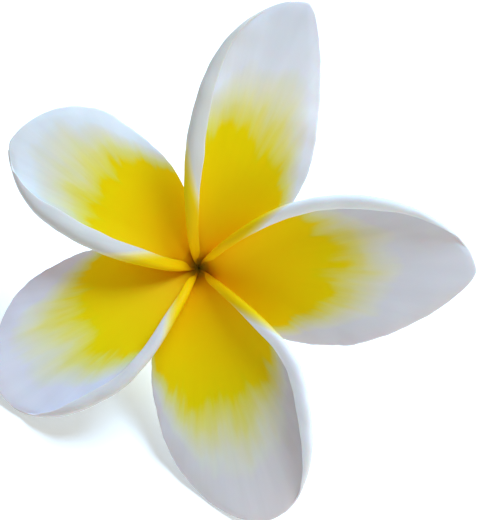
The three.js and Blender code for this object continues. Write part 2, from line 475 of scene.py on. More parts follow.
@dataclass(frozen=True)
class PetalFace(PetalSkin):
    """Fresh waxy petal, upper side: white with a yellow heart that breaks up in fine streaks."""

    # The thick flesh scatters light under a dull bloom of wax, so the white looks creamy and
    # soft, with no highlight, and the gold glows.
    roughness: float = 0.55
    gloss: float = 0.04
    broad: Streak = Streak(9.0, 3.0, 1.5)
    fine: Streak = Streak(6.0, 0.7, 1.0)
    # The halo narrows to a blunt tongue, and the heart ends almost square.
    halo_edge: MarkEdge = MarkEdge(2.0, 9.0, 8.0, 2.5, (5.25, 7.25))
    heart_edge: MarkEdge = MarkEdge(3.0, 8.0, 14.0, 3.2, (8.5, 11.7))
    # Millimetres along the petal. The veins show only out in the white, 1.3 mm apart and up to
    # 4 % in tone. The light and shade painted on the face change in two steps.
    veined: Band = (12.0, 26.0)
    foot_to_middle: Band = (6.0, 20.0)
    middle_to_tip: Band = (31.0, 43.0)
    white_end: float = 0.18  # share of the halo where the plain white ends
    halo_stops: Stops = (
        (0.34, "#e1e3d7"), (0.48, "#e2e2c4"), (0.59, "#e3e2ab"), (0.69, "#e4e089"),
        (0.81, "#e5de66"), (0.94, "#e6da38"), (1.0, "#e7d806"),
    )
    # Near the throat the stops are painted light and shade: the pale pit lifts the throat's deep
    # shade, the darker brown ring at 1 to 2 mm paints the shade round it, and the gold up to 5 mm
    # is brightened against the shade there.
    heart_stops: Stops = (
        (0.0, "#f0dc48"), (0.03, "#d8b41c"), (0.05, "#d8a406"), (0.07, "#eeae02"),
        (0.12, "#f9bf02"), (0.2, "#fec902"), (0.35, "#fbcf02"), (0.5, "#f8d302"),
        (0.75, "#f3d602"), (1.0, "#ecd702"),
    )

    def build(self) -> Material:
        """Makes the material.

        Returns:
            The material.
        """
        material, tree = new_material(self.name)
        along, aside = self.read_map(tree, PLAN_UV)
        in_halo, in_heart = self.edges(tree, along, aside)
        start, full = self.halo_edge.colored
        wide = (start - self.mark.halo, full)
        share = add_node(tree, "MapRange", {0: in_halo, **span(wide)})
        halo = add_node(tree, "ValToRGB", {0: share.outputs[0]})
        set_ramp(halo, ((self.white_end, self.mark.white), *self.halo_stops))
        share = add_node(
            tree, "MapRange", {0: in_heart, **span(self.heart_edge.colored)},
            interpolation_type="SMOOTHSTEP",
        )
        heart = self.heart(tree, along)
        color = add_node(
            tree, "Mix", {0: share.outputs[0], 6: halo.outputs[0], 7: heart}, **MIXING
        )
        # Painted light and shade: the face is made lighter or darker along its length by the
        # petal's tones.
        foot, middle, tip = self.mark.tones
        lit = color
        for change in (
            span(self.foot_to_middle, foot, middle), span(self.middle_to_tip, 1.0, tip / middle)
        ):
            tone = add_node(tree, "MapRange", {0: along, **change})
            lit = add_node(
                tree, "Mix", {0: 1.0, 6: lit.outputs[2], 7: tone.outputs[0]}, **SHADING
            )
        out = add_node(tree, "MapRange", {0: along, **span(self.veined)})
        self.finish(tree, lit.outputs[2], out.outputs[0], out.outputs[0])
        return material

    def edges(self, tree: Tree, along: Socket, aside: Socket) -> list[Socket]:
        """Works out how far inside the ragged edges of the halo and the heart a place lies.

        Args:
            tree: The material's node tree.
            along: Millimetres along the petal.
            aside: The plan map's place aside of the petal's axis.

        Returns:
            Millimetres inside the halo's edge and inside the heart's.
        """
        scale = UV_SPAN / self.mark.half_width
        shift = -(0.5 + self.mark.middle / UV_SPAN) * scale
        off = add_node(tree, "Math", {0: aside, 1: scale, 2: shift}, operation="MULTIPLY_ADD")
        square = add_node(
            tree, "Math", {0: off.outputs[0], 1: off.outputs[0]}, operation="MULTIPLY"
        )
        left = add_node(tree, "Math", {0: self.mark.reach, 1: along}, operation="SUBTRACT")
        broad, fine = (streak.noise(tree, self.mark.seed) for streak in (self.broad, self.fine))
        places = []
        for edge in (self.halo_edge, self.heart_edge):
            bent = add_node(
                tree, "Math", {0: square.outputs[0], 1: edge.power}, operation="POWER"
            )
            place = left
            for source, drawn in (
                (bent.outputs[0], -edge.narrowing), (broad, edge.broad), (fine, edge.fine)
            ):
                place = add_node(
                    tree, "Math", {0: source, 1: drawn, 2: place.outputs[0]},
                    operation="MULTIPLY_ADD",
                )
            places.append(place.outputs[0])
        return places


@dataclass(frozen=True)
class PetalBack(PetalSkin):
    """Fresh waxy petal, under side: white, and yellow only close to the tube."""

    # Its skin is a little smoother than the face's, so the rolled margins catch a faint sheen,
    # and the veins stand out more.
    vein_tone: Band = (0.965, 1.015)
    raised: float = 0.7  # share of the veins' relief that shows
    at_edge: float = 0.55  # share of the rolled margin's yellow that reaches its free edge
    crest: float = 3.0  # millimetres from the free edge, where the yellow reaches furthest out
    blade: float = 7.0  # millimetres from the free edge, where the blade's own yellow begins
    back_yellow: float = 10.0  # millimetres from the throat, under the blade
    fade: Band = (4.0, 9.0)  # millimetres over which the yellow fades, on margin and blade
    fade_from: Band = (1.5, 6.0)  # millimetres from the free edge where one becomes the other
    faded: Band = (-0.6, 0.4)  # how many times that width out from the yellow's end, and in
    lip_light_and_shade_fade: Band = (6.0, 10.0)  # millimetres from the free edge, from the lip's painted light and shade to white
    creamy: Band = (0.0, 0.3)  # share of yellow over which the white turns to cream
    golden: Band = (0.6, 11.0)
    cream_stops: Stops = ((0.3, "#e2dec0"), (0.6, "#e4d98c"), (1.0, "#e7d240"))
    # Near the throat the first stop is paler, painted light that lifts the throat's deep shade,
    # and the darker orange after it paints the shade round the pit.
    heart_stops: Stops = (
        (0.0, "#ead03c"), (0.06, "#eab204"), (0.11, "#fec802"), (0.23, "#fecb02"),
        (0.47, "#f0c803"), (0.76, "#e9cb06"), (1.0, "#e7d00c"),
    )

    def build(self) -> Material:
        """Makes the material.

        Returns:
            The material.
        """
        material, tree = new_material(self.name)
        along, _ = self.read_map(tree, PLAN_UV)
        margin, _ = self.read_map(tree, MARGIN_UV)
        share = self.yellow(tree, along, margin)
        # The back of the rolled margin takes the petal's lip colour, which is painted light and
        # shade, and fades to the petal's white away from its free edge.
        lip, blade = linear(self.mark.lip), linear(self.mark.white)
        away = add_node(tree, "MapRange", {0: margin, **span(self.lip_light_and_shade_fade)})
        white = add_node(tree, "Mix", {0: away.outputs[0], 6: lip, 7: blade}, **MIXING)
        cream = add_node(tree, "ValToRGB", {0: share})
        set_ramp(cream, self.cream_stops)
        creamy = add_node(tree, "MapRange", {0: share, **span(self.creamy)})
        halo = add_node(
            tree, "Mix", {0: creamy.outputs[0], 6: white.outputs[2], 7: cream.outputs[0]},
            **MIXING,
        )
        heart = self.heart(tree, along)
        color = add_node(tree, "Mix", {0: share, 6: halo.outputs[2], 7: heart}, **MIXING)
        self.finish(tree, color.outputs[2], 1.0, self.raised)
        return material

    def yellow(self, tree: Tree, along: Socket, margin: Socket) -> Socket:
        """Works out how yellow a place is: further out on the rolled margin than on the blade.

        Args:
            tree: The material's node tree.
            along: Millimetres along the petal.
            margin: Millimetres from the rolled margin's free edge.

        Returns:
            From 0 in the white to 1 in the heart.
        """
        on_lip = self.mark.on_lip
        lip_reach, lost, fade = (
            add_node(tree, "MapRange", {0: margin, **change})
            for change in (
                span((0.0, self.crest), self.at_edge * on_lip, on_lip),
                span((self.crest, self.blade), 0.0, on_lip - self.back_yellow),
                span(self.fade_from, *self.fade),
            )
        )
        place = lip_reach
        for taken in (lost.outputs[0], along):
            place = add_node(
                tree, "Math", {0: place.outputs[0], 1: taken}, operation="SUBTRACT"
            )
        fades = add_node(
            tree, "Math", {0: place.outputs[0], 1: fade.outputs[0]}, operation="DIVIDE"
        )
        share = add_node(tree, "MapRange", {0: fades.outputs[0], **span(self.faded)})
        return share.outputs[0]


# ---- Petals ----------------------------------------------------------------------------------


@dataclass(frozen=True)
class PetalSide:
    """One side of a petal's outline, which is furthest from the axis at the share "widest"."""

    reach: float  # millimetres from the axis there
    widest: float
    base_curve: float
    tip_curve: float

    def reach_at(self, share: Array) -> Array:
        """Follows the outline along the petal.

        Args:
            share: Shares of the petal's length.

        Returns:
            Reach from the petal's axis at each share.
        """
        left = np.clip((self.widest - share) / self.widest, 0, 1)
        past = np.clip((share - self.widest) / (1 - self.widest), 0, 1)
        rising = 1 - left**self.base_curve
        closing = (1 - past**self.tip_curve) ** (1 / self.tip_curve)
        return self.reach * np.where(share < self.widest, rising, closing)

    def tip_share(self, aside: Array, corner: float) -> Array:
        """Follows the rounded tip across the petal.

        Args:
            aside: Shares of the way from the axis to the tip's corner.
            corner: Share of the length where that corner lies.

        Returns:
            Share of the length where the tip lies.
        """
        reach = aside * float(self.reach_at(np.array(corner))) / self.reach
        closing = (1 - reach**self.tip_curve) ** (1 / self.tip_curve)
        return self.widest + (1 - self.widest) * closing


@dataclass(frozen=True)
class Face:
    """The funnel that the petals share, in millimetres."""

    drop: float = 2.4  # how deep the throat sinks, over "fade"
    fade: float = 2.4
    start: float = 1.7
    rise: float = 8.5  # from the throat to the rim
    rim: float = 44.0
    twist: float = 3.0  # to a radian: each petal's anticlockwise side lies over its neighbour
    twist_fade: float = 4.0
    sink: float = 3.0  # how far the petals' feet go down into the tube
    sink_radius: float = 3.0
    sink_power: float = 2.6
    deepest: float = 1.1  # how far the feet go on sinking, inside foot_radius
    foot_radius: float = 0.16
    swirl_fade: float = 2.8

    def height(self, radius: Array, angle: Array) -> Array:
        """Height of the petals' middle surface.

        Args:
            radius: Distance from the blossom's axis.
            angle: Radians from the petal's own axis.

        Returns:
            Height along the blossom's axis.
        """
        throat = -self.drop * np.exp(-(radius - self.start) / self.fade)
        face = self.rise * (1 - (1 - radius / self.rim) ** 2)
        twist = self.twist * (1 - np.exp(-radius / self.twist_fade))
        deep = (self.sink_radius - radius) / (self.sink_radius - self.foot_radius)
        sunk = self.sink * np.clip(deep, 0, self.deepest) ** self.sink_power
        return throat + face + twist * angle - sunk


@dataclass(frozen=True)
class Lip:
    """The rolled margin: it curls up through 90 degrees, then leans back over its petal."""

    radius: float = 1.3  # millimetres
    lean_rise: float = 1.25  # how much higher the leaning part goes
    turn: float = 210.0  # degrees that it curls where it is full
    end_turn: float = 20.0
    end_scale: float = 0.4
    unroll: float = 0.10  # share of the length over which the upright rest of it lies down
    start: float = 1.45  # millimetres from the blossom's axis
    nose: float = 2.1  # millimetres over which its foot rounds off in the throat
    least: float = 0.2  # share of its size at the foot's very start
    waver: float = 0.03  # share of its size that it varies along the petal
    waver_lengths: tuple[float, ...] = (13.0, 7.0)

    def turn_at(self, width: Array, flat: Array) -> Array:
        """How far the margin curls.

        Args:
            width: Share of the lip's full width that leans over the petal.
            flat: 0 while it stands up, 1 where it lies in the blade.

        Returns:
            Radians.
        """
        full = 1 - math.cos(math.radians(self.turn - 90))
        leaning = UPRIGHT + np.arccos(np.clip(1 - width * full, -1, 1))
        return blend(leaning, math.radians(self.end_turn), flat)


@dataclass(frozen=True)
class LipPlan:
    """Width of one petal's rolled margin along the petal, in millimetres and shares of length."""

    width: float
    foot: float  # share of the width at the throat
    grown: float  # where it has its full width
    narrows: float  # where it starts to narrow
    end: float  # where it no longer leans over the petal
    power: float  # how late it narrows
    taper: float = 0.12  # share of the length over which it dwindles to the petal's tip
    left: float = 0.15  # share of the width that is left there

    def shares(self, share: Array) -> tuple[Array, Array]:
        """Follows the margin along the petal.

        Args:
            share: Shares of the petal's length.

        Returns:
            Size of the lip, and how far it has narrowed.
        """
        size = blend(self.foot, 1.0, ease(share, 0, self.grown))
        past = np.clip((share - self.narrows) / (self.end - self.narrows), 0, 1)
        return size, past**self.power


@dataclass(frozen=True)
class PetalSheet:
    """Measures of a petal as a sheet, in millimetres."""

    thickness: float = 0.6
    edge_share: float = 0.5  # of the thickness, at the margins and the foot
    thin_margin: float = 2.2
    thin_foot: Band = (1.0, 5.0)
    corner: float = 0.985  # share of the length where the margins end and the tip begins
    bend_start: float = 0.4  # share of the rows from which they bend round towards the tip
    rows: int = 92
    blade_columns: int = 34
    lip_columns: int = 18
    bunching: float = 1.35  # of the rows, towards the throat
    rounded: Band = (1.0, 4.0)  # where the rows change from straight to arcs round the axis
    foot_angles: Band = (52.0, 48.0)  # degrees that the rolled side keeps to, near the throat
    foot_range: Band = (1.5, 6.0)
    under_angle: float = 59.0  # and the tucked side
    smoothed: Band = (1.0, 4.0)  # reaches between which the corner at that limit gets rounded off
    body: Band = (4.0, 14.0)  # where the blade gets its soft shape
    body_end: float = 0.8  # share of the length from which it loses it
    cup: float = 0.9
    cup_width: float = 6.0
    droop: float = 0.5
    droop_width: float = 5.0
    ripple: float = 0.22
    ripple_lengths: tuple[float, ...] = (17.0, 9.5, 6.0)
    fray: float = 0.10
    fray_range: Band = (8.0, 14.0)
    rolled_fray: tuple[float, ...] = (9.0, 4.1)
    tucked_fray: tuple[float, ...] = (6.3, 3.1, 1.7)
    vein_radius: float = 22.0  # where the vein map has its true width


@dataclass(frozen=True)
class Petal:
    """One petal: its place, outline, rolled margin and yellow heart."""

    name: str
    node: str
    axis: float  # degrees round the blossom
    length: float
    drift: float  # millimetres that its tip is drawn over to the rolled side
    lip: LipPlan
    rolled: PetalSide
    tucked: PetalSide
    mark: PetalMark
    seed: int
    swirl: float  # degrees that its foot is turned round the throat
    face: Face = Face()
    curl: Lip = Lip()
    sheet: PetalSheet = PetalSheet()

    def build(self) -> list[Piece]:
        """Bends a fine grid into the petal, gives it its thickness and dresses it.

        Returns:
            The petal.
        """
        sheet = self.sheet
        columns = sheet.blade_columns + sheet.lip_columns
        deselect()
        bpy.ops.mesh.primitive_grid_add(
            x_subdivisions=columns, y_subdivisions=sheet.rows, size=2.0, calc_uvs=True
        )
        piece = take(self.name)
        flat = vertex_places(piece)
        column = np.rint((1 - flat[:, 0]) / 2 * columns).astype(int)
        row = np.rint((flat[:, 1] + 1) / 2 * sheet.rows).astype(int)
        points, maps, edge = self.surface()
        move_vertices(piece, LYING.place(points[row, column]))
        piece.data.uv_layers.remove(piece.data.uv_layers[0])
        for name, places in maps.items():
            self.write_uv(piece, name, places[row, column])
        for skin in (
            PetalFace(self.name + " face, fresh waxy petal", self.mark),
            PetalBack(self.name + " back, fresh waxy petal", self.mark),
        ):
            piece.data.materials.append(skin.build())
        thicken(
            piece, edge[row, column], sheet.edge_share, thickness=sheet.thickness * MM,
            offset=0.0, material_offset=1, material_offset_rim=1,
        )
        round_off(piece)
        bpy.ops.object.shade_smooth()
        hand_over(piece, self.node)
        return [piece]

    def surface(self) -> tuple[Array, dict[str, Array], Array]:
        """Works out the petal's middle surface.

        Returns:
            By row and column: the points in the blossom's frame, the places in each UV map, and
            the weight of the thickness.
        """
        sheet = self.sheet
        step = (np.arange(sheet.rows + 1) / sheet.rows) ** sheet.bunching
        foot = self.face.foot_radius / self.length
        share = blend(foot, sheet.corner, step)[:, None]
        rolled, tucked = self.sides(share)
        offset, lift = self.section(share, rolled, tucked)
        gaps = np.hypot(np.diff(offset, axis=1), np.diff(lift, axis=1))
        girth = np.concatenate([np.zeros_like(share), np.cumsum(gaps, axis=1)], axis=1)
        bend = ease(step, sheet.bend_start, 1)[:, None]
        outer = np.where(offset < 0, tucked, rolled)
        aside = np.clip(np.abs(offset) / outer, 0, 1)
        tip = np.where(
            offset < 0,
            self.tucked.tip_share(aside, sheet.corner),
            self.rolled.tip_share(aside, sheet.corner),
        )
        placed = share + bend * (tip - sheet.corner)
        along = placed * self.length
        lift = lift + self.relief(along, offset, rolled, tucked)
        across = offset + self.drift * placed**2
        angle = np.arctan2(across, along)
        radius = blend(along, np.hypot(along, across), ease(along, *sheet.rounded))
        turned = angle + self.turn_at(radius)
        height = self.face.height(radius, angle) + lift
        points = np.stack([radius * np.cos(turned), radius * np.sin(turned), height], axis=-1)
        width = girth[:, -1:]
        maps = {
            PLAN_UV: (along, 0.5 * UV_SPAN + girth - tucked),
            VEIN_UV: (along, 0.5 * UV_SPAN + angle * sheet.vein_radius),
            MARGIN_UV: (width - girth, girth),
        }
        margin = np.minimum(girth, width - girth)
        to_tip = (1 - bend) * self.length + (self.length - along)
        edge = ease(np.minimum(margin, to_tip), 0, sheet.thin_margin)
        edge = edge * ease(along, *sheet.thin_foot)
        places = {name: np.stack(pair, axis=-1) / UV_SPAN for name, pair in maps.items()}
        return points, places, edge

    def turn_at(self, radius: Array) -> Array:
        """Direction of the petal's axis at a radius, in radians: it swirls into the throat."""
        swirl = math.radians(self.swirl) * np.exp(-radius / self.face.swirl_fade)
        return math.radians(self.axis) + swirl

    def sides(self, share: Array) -> tuple[Array, Array]:
        """Follows both sides along the petal, with a little natural fray.

        Args:
            share: Share of the petal's length of each row.

        Returns:
            Reach of the rolled side and of the tucked side.
        """
        sheet = self.sheet
        along = share * self.length
        open_angle = blend(*sheet.foot_angles, ease(along, *sheet.foot_range))
        open_limit = along * np.tan(np.radians(open_angle))
        under_limit = along * math.tan(math.radians(sheet.under_angle))
        fray = sheet.fray * ease(along, *sheet.fray_range)
        ragged = fray / 2 * waves(along, sheet.rolled_fray, self.seed)
        rolled = self.smaller(self.rolled.reach_at(share), open_limit)
        rolled = rolled - sheet.thickness / 2 + ragged
        tucked = self.smaller(self.tucked.reach_at(share), under_limit)
        return rolled, tucked + fray * waves(along, sheet.tucked_fray, self.seed + 1)

    def smaller(self, reach: Array, limit: Array) -> Array:
        """The smaller of two reaches, rounded off over a millimetre where they cross."""
        rounding = ease(limit, *self.sheet.smoothed)
        return (reach + limit - np.sqrt((reach - limit) ** 2 + rounding)) / 2

    def section(self, share: Array, rolled: Array, tucked: Array) -> tuple[Array, Array]:
        """Cross-section of each row: across the blade, then up and back over along the lip.

        Args:
            share: Share of the petal's length of each row.
            rolled: Reach of the rolled side.
            tucked: Reach of the tucked side.

        Returns:
            Offset from the petal's axis and height above the blade, by row and column.
        """
        curl = self.curl
        along = share * self.length
        size, narrowed = self.lip.shares(share)
        lain = min(self.lip.end + curl.unroll / 2, self.sheet.corner)
        flat = ease(share, lain - curl.unroll, lain)
        turn = curl.turn_at(1 - narrowed, flat)
        nose = np.clip((along - curl.start) / curl.nose, 0, 1)
        rounded = np.sqrt(np.clip(1 - (1 - nose) ** 2, curl.least**2, 1))
        waver = curl.waver * waves(along, curl.waver_lengths, self.seed + 2)
        size = size * rounded * (1 + waver)
        corner = self.sheet.corner
        size = size * blend(1.0, self.lip.left, ease(share, corner - self.lip.taper, corner))
        scale = size * blend(1.0, curl.end_scale, narrowed)
        radius = curl.radius * scale
        lean_width = self.lip.width * size / (1 - math.cos(math.radians(curl.turn) - UPRIGHT))
        blade_end = rolled - radius * np.sin(np.minimum(turn, UPRIGHT))
        blade = np.arange(self.sheet.blade_columns) / self.sheet.blade_columns
        blade_offset = blend(-tucked, blade_end, blade[None, :])
        part = np.arange(self.sheet.lip_columns + 1) / self.sheet.lip_columns
        angle = turn * part[None, :]
        rise = np.minimum(angle, UPRIGHT)
        lean = angle - rise
        lip_offset = blade_end + radius * np.sin(rise) - lean_width * (1 - np.cos(lean))
        lip_lift = radius * (1 - np.cos(rise)) + curl.lean_rise * scale * np.sin(lean)
        offset = np.concatenate([blade_offset, lip_offset], axis=1)
        lift = np.concatenate([np.zeros_like(blade_offset), lip_lift], axis=1)
        return offset, lift

    def relief(self, along: Array, offset: Array, rolled: Array, tucked: Array) -> Array:
        """Soft shape of the blade: it rises to the lip, droops to the far margin and ripples.

        Args:
            along: Millimetres along the petal, by row and column.
            offset: Millimetres from its axis.
            rolled: Reach of the rolled side.
            tucked: Reach of the tucked side.

        Returns:
            Height above the face's own shape.
        """
        sheet = self.sheet
        body = ease(along, *sheet.body) * (
            1 - ease(along, sheet.body_end * self.length, self.length)
        )
        to_lip = np.clip((offset - rolled + sheet.cup_width) / sheet.cup_width, 0, 1)
        to_edge = np.clip((sheet.droop_width - tucked - offset) / sheet.droop_width, 0, 1)
        side = np.clip(np.abs(offset) / (rolled + tucked) * 2, 0, 1) ** 2
        swell = waves(along, sheet.ripple_lengths, self.seed + 3)
        return body * (
            sheet.cup * to_lip**2 - sheet.droop * to_edge**2 + sheet.ripple * side * swell
        )

    @staticmethod
    def write_uv(piece: Piece, name: str, places: Array) -> None:
        """Writes a UV map.

        Args:
            piece: The mesh object.
            name: Of the map.
            places: One place per vertex.
        """
        layer = piece.data.uv_layers.new(name=name)
        corners = np.zeros(len(piece.data.loops), dtype=np.int32)
        piece.data.loops.foreach_get("vertex_index", corners)
        layer.data.foreach_set("uv", places[corners].astype(np.float32).ravel())


# Each petal's white, lip and tones hold painted light and shade, set petal by petal.
PETALS = (
    Petal(
        "top_petal", "petal_top", 71, 45.8, -3.0, LipPlan(2.9, 0.5, 0.42, 0.35, 0.92, 1.6),
        PetalSide(10.3, 0.67, 2.1, 1.9), PetalSide(11.2, 0.45, 2.5, 1.35),
        PetalMark(
            reach=23.2, middle=0.0, half_width=8.7, seed=3.1, white="#e1e5ea", lip="#d4d5d0",
            on_lip=16.0, tones=(0.98, 1.09, 0.92), halo=14.5,
        ),
        seed=11, swirl=40.0,
    ),
    Petal(
        "right_petal", "petal_right", 0, 44.5, -0.5,
        LipPlan(2.0, 0.68, 0.3, 0.6, 1.3, 1.5, taper=0.42, left=0.4),
        PetalSide(11.9, 0.56, 2.35, 1.8), PetalSide(12.4, 0.53, 3.0, 1.4),
        PetalMark(
            reach=22.3, middle=0.1, half_width=9.2, seed=7.7, white="#dcdee4", lip="#e5e9eb",
            on_lip=13.8, tones=(1.02, 1.0, 1.0), halo=12.6,
        ),
        seed=23, swirl=32.0,
    ),
    Petal(
        "bottom_petal", "petal_bottom", 284, 41.9, 1.0,
        LipPlan(2.1, 0.62, 0.3, 0.5, 1.2, 1.8, taper=0.3, left=0.3),
        PetalSide(12.1, 0.47, 1.5, 2.1), PetalSide(12.4, 0.58, 3.0, 1.8),
        PetalMark(
            reach=22.9, middle=-1.0, half_width=9.3, seed=12.9, white="#dedcde", lip="#eaecf0",
            on_lip=13.2, tones=(0.96, 0.945, 1.02),
        ),
        seed=37, swirl=16.0,
    ),
    Petal(
        "lower_left_petal", "petal_lower_left", 211, 37.4, 0.5,
        LipPlan(1.9, 0.68, 0.3, 0.7, 1.15, 1.5, taper=0.3, left=0.3),
        PetalSide(10.3, 0.56, 1.6, 2.3), PetalSide(12.5, 0.62, 3.0, 1.7),
        PetalMark(
            reach=21.6, middle=-1.1, half_width=8.6, seed=17.3, white="#dfe0ea", lip="#d8d6d5",
            on_lip=11.0, tones=(0.88, 0.985, 1.08), halo=13.0,
        ),
        seed=41, swirl=26.0,
    ),
    Petal(
        "upper_left_petal", "petal_upper_left", 149, 36.2, -2.0,
        LipPlan(2.8, 0.55, 0.35, 0.6, 1.15, 1.5, taper=0.35, left=0.3),
        PetalSide(7.3, 0.68, 2.3, 1.65), PetalSide(13.1, 0.66, 3.2, 1.8),
        PetalMark(
            reach=21.1, middle=-2.6, half_width=8.4, seed=23.9, white="#e0e8ec", lip="#cecdc9",
            on_lip=12.0, tones=(0.98, 1.0, 1.06),
        ),
        seed=53, swirl=36.0,
    ),
)


# ---- Green and hidden finishes ---------------------------------------------------------------


@dataclass(frozen=True)
class PlantSkin:
    """Smooth plant skin with faint lengthwise streaks and soft mottling."""

    name: str
    stops: Stops  # colours along the blossom's axis
    low: float  # height in millimetres where they start
    high: float  # and where they end
    streak: float = 0.25  # how much the streaks darken it
    roughness: float = 0.5
    gloss: float = 0.2
    glow: float = 0.15  # share of the light that goes into the flesh
    depth: float = 0.6  # millimetres that it travels there
    # To a metre: streaks 0.35 mm wide and 5 mm long, and mottles of 1.2 mm.
    streaks: tuple[float, float, float] = (2850.0, 2850.0, 200.0)
    mottles: float = 830.0
    tone_noise: Band = (0.65, 1.35)
    raised: float = 0.25  # share of the relief that shows
    relief: float = 0.1  # millimetres

    def build(self) -> Material:
        """Makes the material.

        Returns:
            The material.
        """
        material, tree = new_material(self.name)
        place = add_node(tree, "TexCoord")
        own = add_node(
            tree, "Mapping",
            {0: place.outputs["Object"], "Location": Vector(LYING.throat) * MM,
             "Rotation": LYING.matrix().to_euler()},
            vector_type="TEXTURE",
        )
        split = add_node(tree, "SeparateXYZ", {0: own.outputs[0]})
        share = add_node(
            tree, "MapRange", {0: split.outputs[2], **span((self.low * MM, self.high * MM))}
        )
        ramp = add_node(tree, "ValToRGB", {0: share.outputs[0]})
        set_ramp(ramp, self.stops)
        drawn = add_node(tree, "Mapping", {0: own.outputs[0], "Scale": self.streaks})
        streaks = add_node(
            tree, "TexNoise", {"Vector": drawn.outputs[0], "Scale": 1.0, "Detail": 2.0}
        )
        mottle = add_node(
            tree, "TexNoise", {"Vector": own.outputs[0], "Scale": self.mottles, "Detail": 3.0}
        )
        tone = add_node(
            tree, "Math", {0: streaks.outputs[0], 1: mottle.outputs[0]}, operation="ADD"
        )
        tones = span(self.tone_noise, 1.0 - self.streak, 1.0 + self.streak / 3)
        shade = add_node(tree, "MapRange", {0: tone.outputs[0], **tones})
        color = add_node(
            tree, "Mix", {0: 1.0, 6: ramp.outputs[0], 7: shade.outputs[0]}, **SHADING
        )
        bump = add_node(
            tree, "Bump",
            {"Strength": self.raised, "Distance": self.relief * MM, "Height": tone.outputs[0]},
        )
        close_material(
            tree, color.outputs[2], Roughness=self.roughness, Specular_IOR_Level=self.gloss,
            Normal=bump.outputs[0], Subsurface_Weight=self.glow,
            Subsurface_Scale=self.depth * MM,
        )
        return material


# Thin waxy skin over pale flesh: a soft dull sheen, greener at the foot and gold at the flare.
TUBE_SKIN = PlantSkin(
    "corolla tube, pale waxy skin",
    ((0.0, "#a8b06a"), (0.35, "#c4c678"), (0.66, "#dbd264"), (0.85, "#ebcf3a"), (1.0, "#ffcf06")),
    -17.0, -2.6, streak=0.14,
)
# The firmest skin of the blossom: a fresh leaf green with a clearer shine than the petals have.
CALYX_SKIN = PlantSkin(
    "calyx, smooth green skin",
    ((0.0, "#5f7f33"), (0.55, "#7d9a41"), (1.0, "#a3ad58")),
    -18.6, -14.0, streak=0.3, roughness=0.42, gloss=0.3,
)
# Young green bark with pores: darker than the calyx, streaked and a little duller.
STALK_SKIN = PlantSkin(
    "stalk, green skin with fine lenticels",
    ((0.0, "#6d7f36"), (0.5, "#6f9040"), (1.0, "#668a3a")),
    -26.0, -18.6, streak=0.35, roughness=0.5, gloss=0.25,
)
# Cut across with a blade: pale, uneven and matte, as the milky sap dries on it.
CUT_SKIN = PlantSkin(
    "cut stalk end, pale pith with drying sap",
    ((0.0, "#cfcf9c"), (1.0, "#b9bd86")),
    -26.2, -25.6, streak=0.4, roughness=0.6, gloss=0.2,
)
# Loose pollen scatters all light: a dusty golden yellow with no shine at all.
ANTHER_SKIN = PlantSkin(
    "anther, powdery pollen yellow",
    ((0.0, "#c79a35"), (1.0, "#dfb548")),
    -14.0, -11.6, streak=0.3, roughness=0.85, gloss=0.05,
)
# Moist tender tissue that never saw the sun: pale green, whiter at the stigma.
PISTIL_SKIN = PlantSkin(
    "pistil, pale green skin",
    ((0.0, "#9fb25d"), (1.0, "#cfd08a")),
    -17.2, -12.2, streak=0.2,
)


# ---- Turned pieces ---------------------------------------------------------------------------


class Foot(Enum):
    """How the foot of a turned piece is closed."""

    OPEN = "open"
    INSET = "inset"  # with an inset cap, before its side grows
    PLAIN = "plain"  # with one face, once the rest is there


@dataclass(frozen=True)
class Turning:
    """A round shape grown in edit mode from one ring of edges, extruded and resized in steps."""

    name: str
    sides: int
    outline: Outline
    foot: Foot = Foot.OPEN
    capped: bool = False  # whether an inset cap closes its other end
    inset: float = 0.45  # share of a cap's radius

    def make(self) -> Piece:
        """Grows the shape.

        Returns:
            The piece in the blossom's frame, with its faces pointing outwards.
        """
        deselect()
        (radius, height), *rest = self.outline
        bpy.ops.mesh.primitive_circle_add(
            vertices=self.sides, radius=radius * MM, location=(0.0, 0.0, height * MM)
        )
        piece = take(self.name)
        bpy.ops.object.transform_apply(location=True)
        bpy.ops.object.mode_set(mode="EDIT")
        bpy.ops.mesh.select_all(action="SELECT")
        if self.foot is Foot.INSET:
            self.cap(radius)
            self.select_ring(piece, radius)
        for wider, higher in rest:
            rise = (higher - height) * MM
            bpy.ops.mesh.extrude_edges_move(TRANSFORM_OT_translate={"value": (0.0, 0.0, rise)})
            ratio = wider / radius
            bpy.ops.transform.resize(
                value=(ratio, ratio, 1.0), center_override=(0.0, 0.0, higher * MM)
            )
            radius, height = wider, higher
        if self.capped:
            self.cap(radius)
        bpy.ops.mesh.select_all(action="SELECT")
        if self.foot is Foot.PLAIN:
            bpy.ops.mesh.fill_holes(sides=0)
        bpy.ops.mesh.normals_make_consistent(inside=False)
        bpy.ops.object.mode_set(mode="OBJECT")
        return piece

    def cap(self, radius: float) -> None:
        """Closes the selected ring of the given radius with an inset cap."""
        bpy.ops.mesh.edge_face_add()
        bpy.ops.mesh.inset(thickness=radius * self.inset * MM)

    @staticmethod
    def select_ring(piece: Piece, radius: float, near: float = 0.01) -> None:
        """Selects only the edges on a circle, in edit mode.

        Args:
            piece: The piece being grown.
            radius: Of the circle, in millimetres.
            near: How far off it an edge may be.
        """
        bpy.ops.mesh.select_all(action="DESELECT")
        bpy.ops.object.mode_set(mode="OBJECT")
        places = np.hypot(*vertex_places(piece).T[:2]) / MM
        on_ring = np.abs(places - radius) < near
        for vertex in piece.data.vertices:
            vertex.select = bool(on_ring[vertex.index])
        for edge in piece.data.edges:
            edge.select = all(on_ring[index] for index in edge.vertices)
        bpy.ops.object.mode_set(mode="EDIT")


